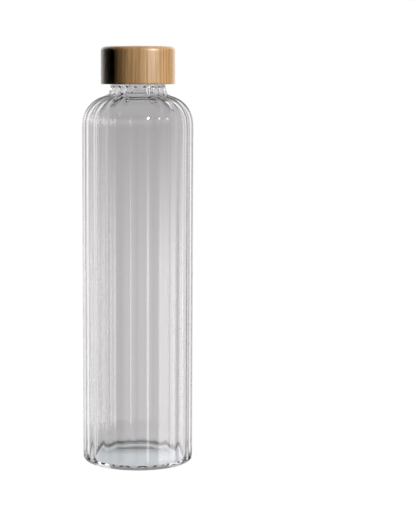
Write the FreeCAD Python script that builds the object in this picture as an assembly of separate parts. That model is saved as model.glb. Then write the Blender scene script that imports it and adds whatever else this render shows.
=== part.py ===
"""Glass water bottle with a screw-on bamboo cap.

The bottle is one blown piece of clear borosilicate glass. Twenty vertical ribs run from the heel, over the
shoulder and up to the neck. Above them the mouth is plain and round, with one turn and a half of screw thread.
The cap is a turned bamboo shell, with a moulded threaded insert bonded in its bore and a loose silicone ring
that closes on the glass rim.

Millimetres. +Z is up, and the origin is on the bottle's axis, in the plane that it stands on.
"""

import FreeCAD
import Part

import math
import os

from FreeCAD import Vector

# Glass body
body_diameter = 65.0  # over the crests of the ribs
straight_height = 199.0  # from the ground to where the shoulder starts
shoulder_radius = 17.0  # profile arc of the shoulder
neck_fillet_radius = 3.5  # hollow arc between shoulder and neck
neck_diameter = 32.0  # plain glass that carries the thread
neck_flare = 0.5  # how far the ribs stand out from it where the fillet ends
neck_wall = 2.2
neck_height = 17.8  # from the fillet's end to the rim
rim_rounding = 0.8
body_wall = 1.4  # at the bottom of a groove, where it is thinnest
heel_radius = 2.6
floor_height = 2.6  # inside floor above the ground
floor_corner_radius = 2.0
punt_diameter = 44.0
punt_depth = 0.6

# Ribs
rib_count = 20
rib_depth = 0.8
rib_depth_on_neck = 0.4
rib_fade_height = 8.0  # the ribs fade out over this height, down to the ground
rib_end_length = 3.0  # above the neck fillet they slope into the plain neck over this length
rib_end_sink = 0.1  # and end this far under its surface

# Screw thread, right-handed
thread_pitch = 4.0
thread_height = 1.15  # glass ridge above the neck
thread_width = 2.4
thread_turns = 1.5
thread_drop = 3.4  # from the rim to the middle of the glass ridge's upper end
thread_clearance = 0.45  # radial, from each ridge to the other piece's wall

# Threaded insert
insert_wall = 1.3
insert_top = 1.4
insert_ridge_width = 1.8
insert_recess = 0.8  # the insert stops this far inside the cap's lower edge
insert_lead_in = 0.5
insert_ridge_start = 2.2  # from the insert's lower edge to the middle of its ridge's end
key_count = 24  # small keys outside the insert, which hold the adhesive
key_height = 0.3
key_width = 1.2
key_inset = 1.5  # from both ends of the insert

# Seal
seal_thickness = 1.8
seal_side_clearance = 0.4
seal_overhang = 1.3  # how far the ring reaches inside the mouth
seal_chamfer = 0.4

# Bamboo cap
cap_wall = 2.4  # around the bore
cap_height = 21.8
cap_top = 4.0  # thickness over the bore
cap_edge_radius = 2.6
cap_bottom_chamfer = 0.4
adhesive_gap = 0.05

# Places worked out from the sizes above
body_radius = body_diameter / 2
neck_radius = neck_diameter / 2
neck_base_radius = neck_radius + neck_flare
inner_radius = body_radius - rib_depth - body_wall
mouth_radius = neck_radius - neck_wall
shoulder_loft_z = straight_height - shoulder_radius / 4  # a little straight wall leads into the shoulder

AXIS = Vector(0, 0, 1)
ORIGIN = Vector(0, 0, 0)
ROOT_BITE = 0.3  # how deep a thread ridge is rooted in its wall, so that the two fuse


def at(radius, z):
    """A point of a profile, which lies in the XZ plane."""
    return Vector(radius, 0, z)


def line(a, b):
    return Part.LineSegment(a, b).toShape()


def arc(centre, radius, from_angle, to_angle):
    """Profile arc about centre. Angles are in radians, from +X towards +Z."""

    def point(angle):
        return centre + Vector(radius * math.cos(angle), 0, radius * math.sin(angle))

    middle = (from_angle + to_angle) / 2
    return Part.Arc(point(from_angle), point(middle), point(to_angle)).toShape()


def revolve(edges):
    """Solid of revolution about Z of a closed profile."""
    return Part.Face(Part.Wire(edges)).revolve(ORIGIN, AXIS, 360)


def revolve_outline(*points):
    corners = [*points, points[0]]
    return revolve([line(a, b) for a, b in zip(corners, corners[1:])])


def cylinder(radius, bottom, top):
    return Part.makeCylinder(radius, top - bottom, Vector(0, 0, bottom))


def neck_fillet(arc_radius, wall_radius, fillet_radius):
    """Centre of the fillet between a shoulder arc and a vertical wall, and its angle seen from the shoulder."""
    across = wall_radius + fillet_radius - shoulder_centre.x
    reach = arc_radius + fillet_radius
    up = math.sqrt(reach**2 - across**2)
    return at(wall_radius + fillet_radius, shoulder_centre.z + up), math.atan2(up, across)


# ---- Places that follow from the neck's height

shoulder_centre = at(body_radius - shoulder_radius, straight_height)
fillet_centre, fillet_angle = neck_fillet(shoulder_radius, neck_base_radius, neck_fillet_radius)
rim_z = fillet_centre.z + neck_height
thread_radius = neck_radius + thread_height
insert_bore = thread_radius + thread_clearance
insert_radius = insert_bore + insert_wall
cap_bore = insert_radius + key_height + adhesive_gap
seal_top_z = rim_z + seal_thickness
insert_top_z = seal_top_z + insert_top
cap_top_z = insert_top_z + cap_top
cap_bottom_z = cap_top_z - cap_height
insert_bottom_z = cap_bottom_z + insert_recess
thread_top_z = rim_z - thread_drop
thread_bottom_z = thread_top_z - thread_turns * thread_pitch
ridge_bottom_z = insert_bottom_z + insert_ridge_start
insert_turns = (thread_top_z - ridge_bottom_z) / thread_pitch


# ---- Glass body

def ribbed_wire(z, crest_radius, depth):
    """Closed wavy outline of rib_count rounded ribs. The first one's crest faces +X."""

    def point(radius, angle):
        return Vector(radius * math.cos(angle), radius * math.sin(angle), z)

    def along(angle):
        return Vector(-math.sin(angle), math.cos(angle), 0)

    half = math.pi / rib_count
    ribs = []
    for i in range(rib_count):
        crest = 2 * half * i
        rib = Part.BSplineCurve()
        rib.interpolate(
            Points=[
                point(crest_radius - depth, crest - half),
                point(crest_radius, crest),
                point(crest_radius - depth, crest + half),
            ],
            InitialTangent=along(crest - half),
            FinalTangent=along(crest + half),
        )
        ribs.append(rib.toShape())
    return Part.Wire(ribs)


def arc_points(centre, radius, from_angle, to_angle, steps):
    """Points (radius, z) along a profile arc, without its first point."""
    points = []
    for i in range(1, steps + 1):
        angle = from_angle + (to_angle - from_angle) * i / steps
        points.append((centre.x + radius * math.cos(angle), centre.z + radius * math.sin(angle)))
    return points


def ribbed_loft(stations, ruled):
    """Solid through ribbed outlines. A station is (radius over the crests, z, rib depth)."""
    return Part.makeLoft([ribbed_wire(z, radius, depth) for radius, z, depth in stations], True, ruled)


def ribbed_wall():
    """The ribbed outside from the ground to the neck, as solids that meet end to end."""
    heel_share = heel_radius / rib_fade_height
    heel_path = [(body_radius - heel_radius, 0)]
    heel_path += arc_points(at(body_radius - heel_radius, heel_radius), heel_radius, -math.pi / 2, 0, 6)
    heel = ribbed_loft([(r, z, rib_depth * z / rib_fade_height) for r, z in heel_path], False)
    foot = ribbed_loft(
        [(body_radius, heel_radius, rib_depth * heel_share), (body_radius, rib_fade_height, rib_depth)], True
    )
    barrel = Part.Face(ribbed_wire(rib_fade_height, body_radius, rib_depth)).extrude(
        Vector(0, 0, shoulder_loft_z - rib_fade_height)
    )

    path = [(body_radius, shoulder_loft_z), (body_radius, (shoulder_loft_z + straight_height) / 2)]
    path.append((body_radius, straight_height))
    path += arc_points(shoulder_centre, shoulder_radius, 0, fillet_angle, 10)
    path += arc_points(fillet_centre, neck_fillet_radius, math.pi + fillet_angle, math.pi, 4)
    stations = []
    for radius, z in path:
        share = (radius - neck_base_radius) / (body_radius - neck_base_radius)
        stations.append((radius, z, rib_depth_on_neck + (rib_depth - rib_depth_on_neck) * share))
    shoulder = ribbed_loft(stations, False)
    rib_ends = ribbed_loft(
        [
            (neck_base_radius, fillet_centre.z, rib_depth_on_neck),
            (neck_radius - rib_end_sink, fillet_centre.z + rib_end_length, rib_depth_on_neck),
        ],
        True,
    )
    return [heel, foot, barrel, shoulder, rib_ends]


def helical_ridge(radius, height, width, turns, bottom_z, start_angle):
    """Rounded ridge on a right-handed helix, in degrees from +X. A negative height stands inwards."""
    outwards = math.copysign(1, height)
    root = radius - outwards * ROOT_BITE
    crest = radius + height
    helix = Part.makeHelix(thread_pitch, thread_pitch * turns, radius)
    profile = Part.Wire(
        [
            Part.Arc(at(root, -width / 2), at(crest, 0), at(root, width / 2)).toShape(),
            line(at(root, width / 2), at(root, -width / 2)),
        ]
    )
    ridge = Part.Wire(helix).makePipeShell([profile], True, True)
    ridge.rotate(ORIGIN, AXIS, start_angle)
    ridge.translate(Vector(0, 0, bottom_z))
    return ridge


def cavity():
    """The space inside the bottle, up through the mouth."""
    arc_radius = shoulder_radius - (body_radius - inner_radius)
    fillet_radius = neck_fillet_radius + neck_wall
    centre, angle = neck_fillet(arc_radius, mouth_radius, fillet_radius)
    corner = floor_corner_radius
    above = rim_z + 1
    return revolve(
        [
            line(at(0, floor_height), at(inner_radius - corner, floor_height)),
            arc(at(inner_radius - corner, floor_height + corner), corner, -math.pi / 2, 0),
            line(at(inner_radius, floor_height + corner), at(inner_radius, straight_height)),
            arc(shoulder_centre, arc_radius, 0, angle),
            arc(centre, fillet_radius, math.pi + angle, math.pi),
            line(at(mouth_radius, centre.z), at(mouth_radius, above)),
            line(at(mouth_radius, above), at(0, above)),
            line(at(0, above), at(0, floor_height)),
        ]
    )


def punt():
    """Shallow dome pressed up into the underside."""
    half = punt_diameter / 2
    radius = (half**2 + punt_depth**2) / (2 * punt_depth)
    ball = Part.makeSphere(radius, Vector(0, 0, punt_depth - radius), Vector(1, 0, 0))
    return ball.common(cylinder(half + 1, 0, punt_depth + 1))


def circles_at(shape, z):
    """The round edges of a shape that lie in the plane at height z."""
    return [e for e in shape.Edges if e.BoundBox.ZLength < 1e-6 and abs(e.BoundBox.ZMin - z) < 1e-6]


def glass_body():
    mouth = cylinder(neck_radius, straight_height, rim_z)
    thread = helical_ridge(neck_radius, thread_height, thread_width, thread_turns, thread_bottom_z, 0)
    walls = ribbed_wall()
    outside = walls[0].fuse([*walls[1:], mouth, thread])
    glass = outside.cut(cavity()).cut(punt())
    return glass.makeFillet(rim_rounding, circles_at(glass, rim_z))


# ---- Cap, insert and seal

def bamboo_cap():
    radius = cap_bore + cap_wall
    edge = cap_edge_radius
    return revolve(
        [
            line(at(0, insert_top_z), at(cap_bore, insert_top_z)),
            line(at(cap_bore, insert_top_z), at(cap_bore, cap_bottom_z)),
            line(at(cap_bore, cap_bottom_z), at(radius - cap_bottom_chamfer, cap_bottom_z)),
            line(at(radius - cap_bottom_chamfer, cap_bottom_z), at(radius, cap_bottom_z + cap_bottom_chamfer)),
            line(at(radius, cap_bottom_z + cap_bottom_chamfer), at(radius, cap_top_z - edge)),
            arc(at(radius - edge, cap_top_z - edge), edge, 0, math.pi / 2),
            line(at(radius - edge, cap_top_z), at(0, cap_top_z)),
            line(at(0, cap_top_z), at(0, insert_top_z)),
        ]
    )


def thread_insert():
    shell = revolve_outline(
        at(0, insert_top_z),
        at(insert_radius, insert_top_z),
        at(insert_radius, insert_bottom_z),
        at(insert_bore + insert_lead_in, insert_bottom_z),
        at(insert_bore, insert_bottom_z + insert_lead_in),
        at(insert_bore, seal_top_z),
        at(0, seal_top_z),
    )
    climb = ridge_bottom_z - (thread_bottom_z - thread_pitch / 2)  # the ridges run half a pitch apart
    ridge = helical_ridge(
        insert_bore,
        -(insert_bore - neck_radius - thread_clearance),
        insert_ridge_width,
        insert_turns,
        ridge_bottom_z,
        360 * climb / thread_pitch,
    )
    keys = []
    for i in range(key_count):
        key = Part.makeBox(
            ROOT_BITE + key_height,
            key_width,
            insert_top_z - insert_bottom_z - 2 * key_inset,
            Vector(insert_radius - ROOT_BITE, -key_width / 2, insert_bottom_z + key_inset),
        )
        key.rotate(ORIGIN, AXIS, 360 * i / key_count)
        keys.append(key)
    return shell.fuse([ridge, *keys])


def seal_ring():
    outer = insert_bore - seal_side_clearance
    inner = mouth_radius - seal_overhang
    ring = cylinder(outer, rim_z, seal_top_z).cut(cylinder(inner, rim_z, seal_top_z))
    inner_edges = [e for z in (rim_z, seal_top_z) for e in circles_at(ring, z) if e.BoundBox.XLength < 2 * inner + 1]
    return ring.makeChamfer(seal_chamfer, inner_edges)


nodes = {
    "glass_body": glass_body,
    "bamboo_cap": bamboo_cap,
    "thread_insert": thread_insert,
    "seal_ring": seal_ring,
}

os.makedirs("parts", exist_ok=True)
for name, make in nodes.items():
    shape = make()
    if shape.ShapeType == "Compound" and len(shape.Solids) == 1:
        shape = shape.Solids[0]
    shape.exportStep(f"parts/{name}.step")
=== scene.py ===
"""Clear ribbed glass water bottle with a bamboo screw cap, standing in a small white studio."""

import math

import bmesh
import bpy
from mathutils import Matrix, Vector


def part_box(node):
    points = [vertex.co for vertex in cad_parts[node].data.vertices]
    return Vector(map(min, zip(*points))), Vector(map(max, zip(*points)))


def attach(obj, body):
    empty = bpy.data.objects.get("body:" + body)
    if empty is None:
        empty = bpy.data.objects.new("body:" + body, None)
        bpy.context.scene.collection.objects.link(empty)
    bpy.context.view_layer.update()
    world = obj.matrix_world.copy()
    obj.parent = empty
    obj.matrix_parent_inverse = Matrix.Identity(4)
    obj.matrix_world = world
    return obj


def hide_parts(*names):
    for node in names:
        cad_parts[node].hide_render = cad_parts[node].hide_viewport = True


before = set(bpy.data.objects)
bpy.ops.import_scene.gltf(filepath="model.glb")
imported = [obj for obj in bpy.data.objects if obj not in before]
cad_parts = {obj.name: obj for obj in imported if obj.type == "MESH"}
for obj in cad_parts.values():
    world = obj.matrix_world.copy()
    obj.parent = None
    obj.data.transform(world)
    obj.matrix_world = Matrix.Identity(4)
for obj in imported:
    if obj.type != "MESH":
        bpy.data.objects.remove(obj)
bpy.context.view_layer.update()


GLASS_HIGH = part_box("glass_body")[1]
CAP_LOW, CAP_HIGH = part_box("bamboo_cap")
INSERT_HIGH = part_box("thread_insert")[1]

MM = 0.001
RIBS = 20

# Glass, in millimetres
BODY_R = GLASS_HIGH.x / MM - 0.02  # over the crests of the ribs, just inside the box
RIM_Z = GLASS_HIGH.z / MM
MOUTH_R = 13.8
NECK_R = 16.0
NECK_BASE_R = 16.5
INNER_R = 30.3
SHOULDER_Z = 199.0
SHOULDER_R = 17.0
FILLET_R = 3.5
HEEL_R = 2.6
FLOOR_Z = 2.6
PUNT_R = 22.0
PUNT_DEPTH = 0.6
FLOOR_CORNER_R = 1.2
RIM_EDGE_R = 0.8
RIM_BEND_Z = RIM_Z - 1.4  # the straight walls of the neck end here

# How far a rib's lines move from the plain wall, as a share of its radius
RIB_CREST = 0.0040
RIB_FLANK = -0.0077
RIB_GROOVE = -0.0340
SMOOTHING_LOSS = 0.001  # what subdivision takes off the wall

# The screw ridge on the neck
THREAD_PITCH = 4.0
THREAD_TURNS = 1.5
THREAD_DROP = 3.4  # from the rim down to its upper end
THREAD_HEIGHT = 1.1
THREAD_ROOT = 0.6  # how deep it starts in the wall
THREAD_STEPS = 96  # sections in a turn
FADE_STEPS = 12  # sections over which an end sinks into the wall

# The cap
CAP_R = CAP_HIGH.x / MM - 0.01
CAP_STEPS = 96
CAP_TOP_EDGE_R = 2.6
CAP_LOW_EDGE_R = 0.4
BORE_R = INSERT_HIGH.x / MM + 0.05


# ---- Meshes made in edit mode


def deselect_objects():
    for obj in bpy.context.selected_objects:
        obj.select_set(False)


def edit(obj):
    deselect_objects()
    bpy.context.view_layer.objects.active = obj
    obj.select_set(True)
    bpy.ops.object.mode_set(mode="EDIT")


def leave_edit():
    bpy.ops.object.mode_set(mode="OBJECT")


def pick(obj, kind, wanted):
    """Selects, in edit mode, just the vertices, edges or faces that wanted(element) holds for."""
    bpy.ops.mesh.select_mode(type={"verts": "VERT", "edges": "EDGE", "faces": "FACE"}[kind])
    bpy.ops.mesh.select_all(action="DESELECT")
    mesh = bmesh.from_edit_mesh(obj.data)
    for element in getattr(mesh, kind):
        if wanted(element):
            element.select_set(True)
    mesh.select_flush_mode()
    bmesh.update_edit_mesh(obj.data)


def radius_of(co):
    return math.hypot(co.x, co.y) / MM


def azimuth_of(co):
    return math.degrees(math.atan2(co.y, co.x))


def apply_modifiers(obj):
    deselect_objects()
    bpy.context.view_layer.objects.active = obj
    obj.select_set(True)
    for modifier in list(obj.modifiers):
        bpy.ops.object.modifier_apply(modifier=modifier.name)


def rounded(obj, levels):
    subdivision = obj.modifiers.new("smooth", "SUBSURF")
    subdivision.levels = subdivision.render_levels = levels
    apply_modifiers(obj)


def draw_outline(name, points, low=0):
    """Draws a line of edges through (radius, z) points in mm, above a height, and stays in edit mode."""
    bpy.ops.mesh.primitive_plane_add(size=MM, location=(0, 0, 0))
    obj = bpy.context.object
    obj.name = obj.data.name = name
    edit(obj)
    bpy.ops.mesh.select_all(action="SELECT")
    bpy.ops.mesh.merge(type="CENTER")
    bpy.ops.transform.translate(value=(points[0][0] * MM, 0, (low + points[0][1]) * MM))
    for (r0, z0), (r1, z1) in zip(points, points[1:]):
        step = ((r1 - r0) * MM, 0, (z1 - z0) * MM)
        bpy.ops.mesh.extrude_vertices_move(TRANSFORM_OT_translate={"value": step})
    bpy.ops.mesh.select_all(action="SELECT")
    return obj


def turned(name, outline, steps):
    """A piece turned on a lathe: its outline, (radius, z) points in mm, is spun round the axis."""
    obj = draw_outline(name, outline)
    bpy.ops.mesh.spin(steps=steps, angle=math.tau, center=(0, 0, 0), axis=(0, 0, 1))
    bpy.ops.mesh.select_all(action="SELECT")
    bpy.ops.mesh.remove_doubles(threshold=0.002 * MM)
    bpy.ops.mesh.normals_make_consistent(inside=False)
    leave_edit()
    return obj


def curve_points(centre, radius, from_deg, to_deg, count):
    """Points along an arc of an outline, both ends included."""
    points = []
    for i in range(count):
        angle = math.radians(from_deg + (to_deg - from_deg) * i / (count - 1))
        points.append((centre[0] + radius * math.cos(angle), centre[1] + radius * math.sin(angle)))
    return points


# ---- The glass body


def neck_fillet(arc_r, wall_r, fillet_r):
    centre_r = BODY_R - SHOULDER_R
    across = wall_r + fillet_r - centre_r
    up = math.sqrt((arc_r + fillet_r) ** 2 - across**2)
    return (wall_r + fillet_r, SHOULDER_Z + up), math.degrees(math.atan2(up, across))


def glass_outline():
    """From the middle of the underside, up the outside, over the rim and down the inside to the floor."""
    shoulder = (BODY_R - SHOULDER_R, SHOULDER_Z)
    fillet, meet = neck_fillet(SHOULDER_R, NECK_BASE_R, FILLET_R)
    wall = BODY_R - INNER_R
    inner_fillet_r = FILLET_R + NECK_R - MOUTH_R
    inner_fillet, inner_meet = neck_fillet(SHOULDER_R - wall, MOUTH_R, inner_fillet_r)
    foot_r = BODY_R - HEEL_R
    points = [(0, PUNT_DEPTH), (PUNT_R * 0.5, PUNT_DEPTH * 0.75), (PUNT_R * 0.9, PUNT_DEPTH * 0.25)]
    points += [(PUNT_R * 1.08, 0), (foot_r - 1.5, 0)]
    points += curve_points((foot_r, HEEL_R), HEEL_R, -90, 0, 5)
    points += [(BODY_R, HEEL_R + 2), (BODY_R, 8), (BODY_R, 14), (BODY_R, 70)]
    points += [(BODY_R, 130), (BODY_R, 188), (BODY_R, 194)]
    points += curve_points(shoulder, SHOULDER_R, 0, meet, 9)
    points += curve_points(fillet, FILLET_R, 180 + meet, 180, 5)[1:]
    points += [(NECK_BASE_R - 0.1, fillet[1] + 0.7), (NECK_BASE_R - 0.2, fillet[1] + 1.3)]
    points += [(NECK_R + 0.15, fillet[1] + 1.9), (NECK_R, fillet[1] + 2.5), (NECK_R, fillet[1] + 3.2)]
    points += [(NECK_R, RIM_BEND_Z)]
    points += curve_points((NECK_R - RIM_EDGE_R, RIM_Z - RIM_EDGE_R), RIM_EDGE_R, 0, 90, 4)
    points += curve_points((MOUTH_R + RIM_EDGE_R, RIM_Z - RIM_EDGE_R), RIM_EDGE_R, 90, 180, 4)
    points += [(MOUTH_R, RIM_BEND_Z), (MOUTH_R, fillet[1] + 4)]
    points += [(MOUTH_R, fillet[1] + 2.5), (MOUTH_R, fillet[1] + 1.3), (MOUTH_R, fillet[1] + 0.3)]
    points += curve_points(inner_fillet, inner_fillet_r, 180, 180 + inner_meet, 6)
    points += curve_points(shoulder, SHOULDER_R - wall, inner_meet, 0, 8)[1:]
    points += [(INNER_R, 194), (INNER_R, 188), (INNER_R, 100), (INNER_R, 14), (INNER_R, 8)]
    corner = (INNER_R - FLOOR_CORNER_R, FLOOR_Z + FLOOR_CORNER_R)
    points += curve_points(corner, FLOOR_CORNER_R, 0, -90, 4)
    points += [(INNER_R - 4, FLOOR_Z), (PUNT_R, FLOOR_Z)]
    points += [(PUNT_R * 0.5, FLOOR_Z + 0.1), (0, FLOOR_Z + 0.15)]
    return points


# How deep the ribs are between two heights, as a share of their depth on the body: they fade out at the
# heel and get deeper up the shoulder to the neck. The wall inside follows them.
OUTER_RIBS = (
    (0.5, 1.2, 0.1),
    (1.2, 2, 0.25),
    (2, 3.5, 0.55),
    (3.5, 6, 0.9),
    (6, 208, 1.0),
    (208, 212, 1.3),
    (212, 216, 1.8),
    (216, 220.4, 2.1),
    (220.4, 221, 0.7),
)
INNER_RIBS = (
    (2.8, 6, 0.8),
    (6, 208, 0.9),
    (208, 213, 1.2),
    (213, 220.4, 1.7),
    (220.4, 221.6, 0.6),
)


def outside(co):
    """True for a point of the glass that lies on its outer side."""
    r, z = radius_of(co), co.z / MM
    wall = BODY_R - INNER_R
    if z < SHOULDER_Z:
        return r > BODY_R - wall / 2 or z < FLOOR_Z / 2
    if z > SHOULDER_Z + SHOULDER_R - 1:
        return r > (MOUTH_R + NECK_R) / 2
    return math.hypot(r - (BODY_R - SHOULDER_R), z - SHOULDER_Z) > SHOULDER_R - wall / 2


def column(co):
    """Which line of a rib a point is on: 0 crest, 1 and 3 flanks, 2 groove."""
    return round(azimuth_of(co) / (360 / RIBS / 4)) % 4


def press_ribs(obj, low, high, share, on_outside):
    """Scales the lines of the ribs towards the axis between two heights. Share 1 is their full depth."""
    inside_punt = PUNT_R / 2 - 1
    for line, offset in ((0, RIB_CREST), (1, RIB_FLANK), (2, RIB_GROOVE)):
        pick(
            obj,
            "verts",
            lambda v: low <= v.co.z / MM <= high
            and radius_of(v.co) > inside_punt
            and (column(v.co) % 2 == 1 if line == 1 else column(v.co) == line)
            and outside(v.co) == on_outside,
        )
        factor = 1 + SMOOTHING_LOSS + offset * share
        bpy.ops.transform.resize(value=(factor, factor, 1), center_override=(0, 0, 0))


def screwed(name, section, start_z, pitch, turns, steps_a_turn):
    """A right-handed screw ridge: its closed section, (radius, height) points in mm, is carried up."""
    obj = draw_outline(name, section, start_z)
    bpy.ops.mesh.edge_face_add()
    leave_edit()
    screw = obj.modifiers.new("screw", "SCREW")
    screw.axis = "Z"
    screw.angle = math.tau * turns
    screw.screw_offset = pitch * turns * MM
    screw.steps = screw.render_steps = int(steps_a_turn * turns)
    apply_modifiers(obj)
    edit(obj)
    bpy.ops.mesh.select_all(action="SELECT")
    bpy.ops.mesh.remove_doubles(threshold=0.001 * MM)
    bpy.ops.mesh.select_all(action="DESELECT")
    bpy.ops.mesh.select_mode(type="EDGE")
    bpy.ops.mesh.select_non_manifold()
    bpy.ops.mesh.edge_face_add()
    bpy.ops.mesh.select_all(action="SELECT")
    bpy.ops.mesh.normals_make_consistent(inside=False)
    leave_edit()
    return obj


def fade_ridge(obj, turn, step, middle_z):
    """Sinks an end of the screw ridge into the wall, section by section, from a given turn."""
    full = THREAD_HEIGHT * 1.15 / (NECK_R + THREAD_HEIGHT)  # a little more than its height
    for i in range(FADE_STEPS):
        angle = math.degrees((turn + i * step) * math.tau)
        height = middle_z + i * step * THREAD_PITCH
        pick(
            obj,
            "verts",
            lambda v: abs((azimuth_of(v.co) - angle + 180) % 360 - 180) < 1.5
            and abs(v.co.z / MM - height) < 1.7,
        )
        sunk = 1 - (1 - i / FADE_STEPS) ** 2 * full
        bpy.ops.transform.resize(value=(sunk, sunk, 1), center_override=(0, 0, 0))


def glass_thread():
    """The moulded screw ridge, a closed piece of its own until it is joined to the neck."""
    end = RIM_Z - THREAD_DROP
    start = end - THREAD_TURNS * THREAD_PITCH
    ridge = [(NECK_R - THREAD_ROOT, -1.3), (NECK_R + 0.02, -1.15)]
    ridge += [(NECK_R + 0.6, -0.76), (NECK_R + 1.0, -0.34)]
    ridge += [(NECK_R + THREAD_HEIGHT, 0)] + [(r, -h) for r, h in reversed(ridge)]
    obj = screwed("thread", ridge, start, THREAD_PITCH, THREAD_TURNS, THREAD_STEPS)
    edit(obj)
    fade_ridge(obj, 0, 1 / THREAD_STEPS, start)
    fade_ridge(obj, THREAD_TURNS, -1 / THREAD_STEPS, end)
    leave_edit()
    return obj


def join_solid(obj, other):
    """Makes one closed skin of two pieces that run into each other."""
    union = obj.modifiers.new("union", "BOOLEAN")
    union.operation = "UNION"
    union.solver = "EXACT"
    union.object = other
    apply_modifiers(obj)
    bpy.data.objects.remove(other)


def make_glass():
    obj = turned("glass", glass_outline(), RIBS * 4)
    edit(obj)
    for low, high, share in OUTER_RIBS:
        press_ribs(obj, low, high, share, True)
    for low, high, share in INNER_RIBS:
        press_ribs(obj, low, high, share, False)
    leave_edit()
    rounded(obj, 2)
    join_solid(obj, glass_thread())
    bpy.ops.object.shade_smooth_by_angle(angle=math.radians(40))
    return obj


glass = make_glass()
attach(glass, "bottle")
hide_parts("glass_body")


# ---- The bamboo cap


def cap_outline():
    """From the middle of the bore's ceiling, down the bore, round the lower edge and up over the top."""
    low, top, ceiling = CAP_LOW.z / MM, CAP_HIGH.z / MM, INSERT_HIGH.z / MM
    points = [(0, ceiling), (BORE_R * 0.5, ceiling), (BORE_R - 0.3, ceiling)]
    points += [(BORE_R, ceiling), (BORE_R, ceiling - 0.3)]
    points += [(BORE_R, low + 0.5), (BORE_R, low + 0.3), (BORE_R + 0.3, low), (CAP_R - 0.5, low)]
    points += curve_points((CAP_R - CAP_LOW_EDGE_R, low + CAP_LOW_EDGE_R), CAP_LOW_EDGE_R, -90, 0, 4)
    points += [(CAP_R, low + 1.2), (CAP_R, low + 6), (CAP_R, low + 12), (CAP_R, top - 3.4)]
    points += curve_points((CAP_R - CAP_TOP_EDGE_R, top - CAP_TOP_EDGE_R), CAP_TOP_EDGE_R, 0, 90, 9)
    points += [(CAP_R - 4, top), (CAP_R * 0.6, top), (CAP_R * 0.3, top), (0, top)]
    return points


def make_cap():
    obj = turned("cap_shell", cap_outline(), CAP_STEPS)
    bpy.ops.object.shade_smooth_by_angle(angle=math.radians(50))
    return obj


cap = make_cap()
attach(cap, "cap")
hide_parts("bamboo_cap")


# ---- Materials


class Value:
    """An output socket that can be used in sums: an expression adds its Math nodes."""

    def __init__(self, nodes, socket):
        self.nodes = nodes
        self.socket = socket

    def math(self, operation, a, b):
        return self.nodes.add("ShaderNodeMath", {"operation": operation}, {0: a, 1: b})

    def __add__(self, other):
        return self.math("ADD", self, other)

    __radd__ = __add__

    def __sub__(self, other):
        return self.math("SUBTRACT", self, other)

    def __rsub__(self, other):
        return self.math("SUBTRACT", other, self)

    def __mul__(self, other):
        return self.math("MULTIPLY", self, other)

    __rmul__ = __mul__

    def rise(self, low, high):
        """0 below low, 1 above high, and a soft rise between them."""
        return self.nodes.add(
            "ShaderNodeMapRange",
            {"interpolation_type": "SMOOTHSTEP"},
            {"Value": self, "From Min": low, "From Max": high},
        )

    def within(self, low, high, soft):
        """1 between low and high, with soft ends."""
        return self.rise(low - soft, low + soft) * (1 - self.rise(high - soft, high + soft))


class Nodes:
    """A node tree being filled."""

    def __init__(self, owner):
        owner.use_nodes = True
        self.tree = owner.node_tree
        self.tree.nodes.clear()

    def add(self, kind, settings, values, output=0):
        """Adds a node: its settings first, then the values or links of its sockets."""
        made = self.tree.nodes.new(kind)
        for key, setting in settings.items():
            setattr(made, key, setting)
        for key, value in values.items():
            socket = made.inputs[key]
            if isinstance(value, Value):
                self.tree.links.new(value.socket, socket)
            elif socket.type == "RGBA":
                socket.default_value = (*value, 1)
            else:
                socket.default_value = value
        return Value(self, made.outputs[output]) if made.outputs else None

    def mix(self, factor, a, b):
        """From colour a to colour b."""
        return self.add("ShaderNodeMix", {"data_type": "RGBA"}, {0: factor, 6: a, 7: b}, 2)

    def place(self, scale=(1, 1, 1)):
        coords = self.add("ShaderNodeTexCoord", {}, {}, "Object")
        return self.add("ShaderNodeMapping", {}, {"Vector": coords, "Scale": scale})

    def noise(self, vector, scale, detail=2.0, roughness=0.5):
        values = {"Vector": vector, "Scale": scale, "Detail": detail, "Roughness": roughness}
        return self.add("ShaderNodeTexNoise", {}, values)

    def bump(self, height, strength, distance):
        values = {"Height": height, "Strength": strength, "Distance": distance}
        return self.add("ShaderNodeBump", {}, values)

    def surface(self, values):
        shader = self.add("ShaderNodeBsdfPrincipled", {}, values)
        self.add("ShaderNodeOutputMaterial", {}, {"Surface": shader})


def shaded(colour, level):
    return tuple(level * c for c in colour)


def clear_glass():
    mat = bpy.data.materials.new("clear_glass")
    nodes = Nodes(mat)
    drawn = nodes.noise(nodes.place((1, 1, 0.05)), 60, 1)  # faint draw lines up the wall
    nodes.surface(
        {
            "Base Color": nodes.mix(drawn, (0.994, 0.99, 0.992), (0.986, 0.984, 0.989)),
            "Roughness": 0.0,
            "IOR": 1.47,
            "Transmission Weight": 1.0,
            "Normal": nodes.bump(drawn, 0.02, 0.0004),
        }
    )
    return mat


def bamboo():
    mat = bpy.data.materials.new("bamboo")
    nodes = Nodes(mat)
    fibres = nodes.noise(nodes.place((1, 1, 0.012)), 2600, 2, 0.6)  # about 0.4 mm wide
    streaks = nodes.noise(nodes.place((1, 1, 0.02)), 900, 3, 0.65)  # about 1 mm
    bundles = nodes.noise(nodes.place((1, 1, 0.05)), 190, 2, 0.5)  # about 5 mm
    tone = nodes.mix(bundles.rise(0.3, 0.7), (0.68, 0.43, 0.20), (0.57, 0.33, 0.13))
    tone = nodes.mix(streaks.rise(0.4, 0.66) * 0.7, tone, (0.40, 0.20, 0.07))
    tone = nodes.mix(fibres.rise(0.5, 0.7) * 0.8, tone, (0.25, 0.115, 0.035))
    nodes.surface(
        {
            "Base Color": tone,
            "Roughness": 0.38 + fibres * 0.25,
            "Specular IOR Level": 0.5,
            "Coat Weight": 1.0,
            "Coat Roughness": 0.36,
            "Normal": nodes.bump(fibres, 0.35, 0.0002),
        }
    )
    return mat


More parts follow.
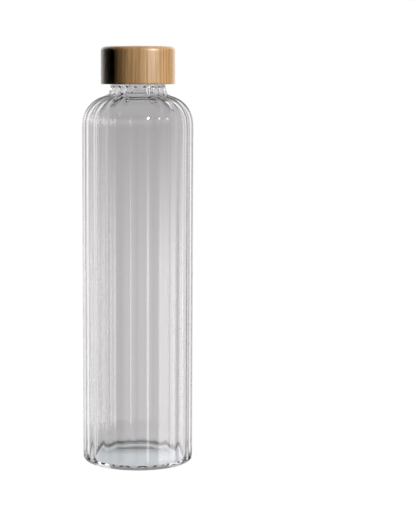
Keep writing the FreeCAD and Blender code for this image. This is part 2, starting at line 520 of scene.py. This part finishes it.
def moulded(name, colour, roughness):
    mat = bpy.data.materials.new(name)
    nodes = Nodes(mat)
    grain = nodes.noise(nodes.place(), 1800)
    cloud = nodes.noise(nodes.place(), 140)
    nodes.surface(
        {
            "Base Color": nodes.mix(cloud, colour, shaded(colour, 0.88)),
            "Roughness": roughness + grain * 0.12,
            "Normal": nodes.bump(grain, 0.12, 0.0001),
        }
    )
    return mat


def cover(obj, mat):
    obj.data.materials.clear()
    obj.data.materials.append(mat)


cover(glass, clear_glass())
cover(cap, bamboo())
OFF_WHITE = (0.80, 0.79, 0.75)
MILKY_WHITE = (0.86, 0.86, 0.84)
cover(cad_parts["thread_insert"], moulded("insert_plastic", OFF_WHITE, 0.34))
cover(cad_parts["seal_ring"], moulded("silicone", MILKY_WHITE, 0.45))


# ---- Studio

CAMERA_AZIMUTH = 265.6  # degrees; the camera stands just left of the front, which is -Y
CAMERA_DISTANCE = 0.9078
CAMERA_HEIGHT = 0.223
CAMERA_TILT = 6.5
CAMERA_LENS = 107.51
CAMERA_SENSOR = 36
CAMERA_SHIFT = 0.135  # sets the bottle left of the middle of the view
AIM_HEIGHT = 0.13  # the lamp points at the bottle's middle

FLOOR_R = 6
FLOOR_GLOW = (0.99, 0.99, 0.99)
FLOOR_PAINT = (0.03, 0.03, 0.03)
MAT_R = 29 * MM
MAT_DROP = 0.2 * MM  # how far the mat lies under the bottle
MAT_DARK = (0.58, 0.64, 0.67)
MAT_LIGHT = (0.68, 0.73, 0.75)

BLACK = (0, 0, 0)
WHITE = (1, 1, 1)
BRIGHTEST = 4.0  # the light at factor 1 of a mix
STUDIO_TINT = (1, 0.9825, 0.9925)
FILL_TINT = (1, 0.975, 0.95)
CEILING = (0.04, 0.04, 0.04)
TABLE_BELOW = (0.46, 0.51, 0.54)
TABLE_SHADE = (0.06, 0.055, 0.05)

# Panels round the bottle: from, to, light at all heights, more light on the table. The two angles are in
# degrees from the camera's side, positive to the viewer's right.
PANELS = (
    (-157, -128, 0.95, 0),
    (-128, -84, 0.6, 0),
    (-84, -72, 1.0, 0),
    (-45, -22, 0, 0.6),
    (-22, 30, 0.08, 1.0),
    (30, 44, 0.25, 0.8),
    (44, 70, 0.3, 4.0),
    (70, 100, 0.5, 3.0),
    (100, 112, 1.1, 0),
    (112, 146, 0.6, 0),
    (146, 157, 1.5, 0),
)
CARD_EDGE = 157
CARD_LIGHT = 0.45

away = math.radians(CAMERA_AZIMUTH)
FRONT = Vector((math.cos(away), math.sin(away), 0))
RIGHT = Vector((-FRONT.y, FRONT.x, 0))


def add_camera():
    data = bpy.data.cameras.new("camera")
    data.lens = CAMERA_LENS
    data.sensor_width = CAMERA_SENSOR
    data.shift_x = CAMERA_SHIFT
    data.clip_start = 0.05
    obj = bpy.data.objects.new("camera", data)
    bpy.context.scene.collection.objects.link(obj)
    heading = math.radians(CAMERA_AZIMUTH + 90)
    tilt = math.radians(90 - CAMERA_TILT)
    turn = Matrix.Rotation(heading, 4, "Z") @ Matrix.Rotation(tilt, 4, "X")
    place = FRONT * CAMERA_DISTANCE + Vector((0, 0, CAMERA_HEIGHT))
    obj.matrix_world = Matrix.Translation(place) @ turn
    bpy.context.scene.camera = obj


def add_lamp(name, azimuth, height, distance, width, tall, power):
    """A rectangular lamp. Its azimuth counts as a panel's does."""
    angle = math.radians(azimuth)
    place = (FRONT * math.cos(angle) + RIGHT * math.sin(angle)) * distance + Vector((0, 0, height))
    data = bpy.data.lights.new(name, "AREA")
    data.shape = "RECTANGLE"
    data.size, data.size_y = width, tall
    data.energy = power
    obj = bpy.data.objects.new(name, data)
    bpy.context.scene.collection.objects.link(obj)
    facing = (Vector((0, 0, AIM_HEIGHT)) - place).to_track_quat("-Z", "Y").to_matrix().to_4x4()
    obj.matrix_world = Matrix.Translation(place) @ facing


def disc(radius, height):
    bpy.ops.mesh.primitive_circle_add(vertices=128, radius=radius, fill_type="NGON", location=(0, 0, height))
    return bpy.context.object


def add_floor():
    """A pale floor. Only the camera and the lamp see it: the bottle mirrors the studio's lower half."""
    floor = disc(FLOOR_R, 0)
    floor.name = "floor"
    floor.visible_glossy = floor.visible_transmission = floor.visible_diffuse = False
    mat = bpy.data.materials.new("floor")
    nodes = Nodes(mat)
    glow = nodes.add("ShaderNodeEmission", {}, {"Color": FLOOR_GLOW})
    paint = nodes.add("ShaderNodeBsdfDiffuse", {}, {"Color": FLOOR_PAINT})
    both = nodes.add("ShaderNodeAddShader", {}, {0: glow, 1: paint})
    nodes.add("ShaderNodeOutputMaterial", {}, {"Surface": both})
    cover(floor, mat)


def add_mat():
    """The pale table mat under the bottle, seen only through its glass floor."""
    pad = disc(MAT_R, -MAT_DROP)
    pad.name = "mat"
    pad.visible_camera = pad.visible_diffuse = pad.visible_shadow = False
    mat = bpy.data.materials.new("mat")
    nodes = Nodes(mat)
    weave = nodes.mix(nodes.noise(nodes.place(), 90), MAT_DARK, MAT_LIGHT)
    glow = nodes.add("ShaderNodeEmission", {}, {"Color": weave})
    nodes.add("ShaderNodeOutputMaterial", {}, {"Surface": glow})
    cover(pad, mat)


def add_surroundings():
    """White to the camera. What the bottle bends or mirrors is a grey card behind it, panels round it,
    a table that is lit on the right and shaded at the back, and a dark ceiling. The cap's rough face
    gets its soft light from behind only."""
    world = bpy.data.worlds.new("studio")
    bpy.context.scene.world = world
    nodes = Nodes(world)
    way = nodes.add("ShaderNodeTexCoord", {}, {}, "Generated")
    to_degrees = 180 / math.pi

    def along(axis):
        values = {0: way, 1: tuple(axis)}
        return nodes.add("ShaderNodeVectorMath", {"operation": "DOT_PRODUCT"}, values, "Value")

    def ray_is(kind):
        return nodes.add("ShaderNodeLightPath", {}, {}, kind)

    up = nodes.add("ShaderNodeMath", {"operation": "ARCSINE"}, {0: along((0, 0, 1))}) * to_degrees
    across = {0: along(RIGHT), 1: along(FRONT)}
    azimuth = nodes.add("ShaderNodeMath", {"operation": "ARCTAN2"}, across) * to_degrees

    table = (1 - up.rise(-8, -1)) * up.rise(-24, -14)
    card = CARD_LIGHT + (1 - up.rise(-4, -1)) * 0.035
    light = card * (1 - azimuth.within(-CARD_EDGE, CARD_EDGE, 3))
    for start, end, level, on_table in PANELS:
        light = light + azimuth.within(start, end, 2) * (table * on_table + level)
    studio = nodes.mix(light * (1 / BRIGHTEST), BLACK, shaded(STUDIO_TINT, BRIGHTEST))
    studio = nodes.mix(up.rise(36, 50), studio, CEILING)
    studio = nodes.mix(1 - up.rise(-50, -38), studio, TABLE_BELOW)
    shade = up.within(-36, -16, 3) * (1 - azimuth.within(-125, 125, 8))
    studio = nodes.mix(shade * 0.8, studio, TABLE_SHADE)

    fill = (1 - azimuth.within(-134, 134, 7)) * 0.38
    behind = nodes.mix(fill, BLACK, shaded(FILL_TINT, BRIGHTEST))
    studio = nodes.mix(ray_is("Is Singular Ray"), behind, studio)
    colour = nodes.mix(ray_is("Is Camera Ray"), studio, WHITE)
    background = nodes.add("ShaderNodeBackground", {}, {"Color": colour})
    nodes.add("ShaderNodeOutputWorld", {}, {"Surface": background})


add_camera()
add_floor()
add_mat()
add_surroundings()
add_lamp("key", azimuth=49, height=0.515, distance=0.75, width=0.05, tall=0.05, power=7.4)

scene = bpy.context.scene
scene.view_settings.view_transform = "Standard"
scene.cycles.use_denoising = True
scene.cycles.denoising_input_passes = "RGB"
scene.cycles.max_bounces = 24
scene.cycles.transmission_bounces = 20
scene.cycles.glossy_bounces = 8
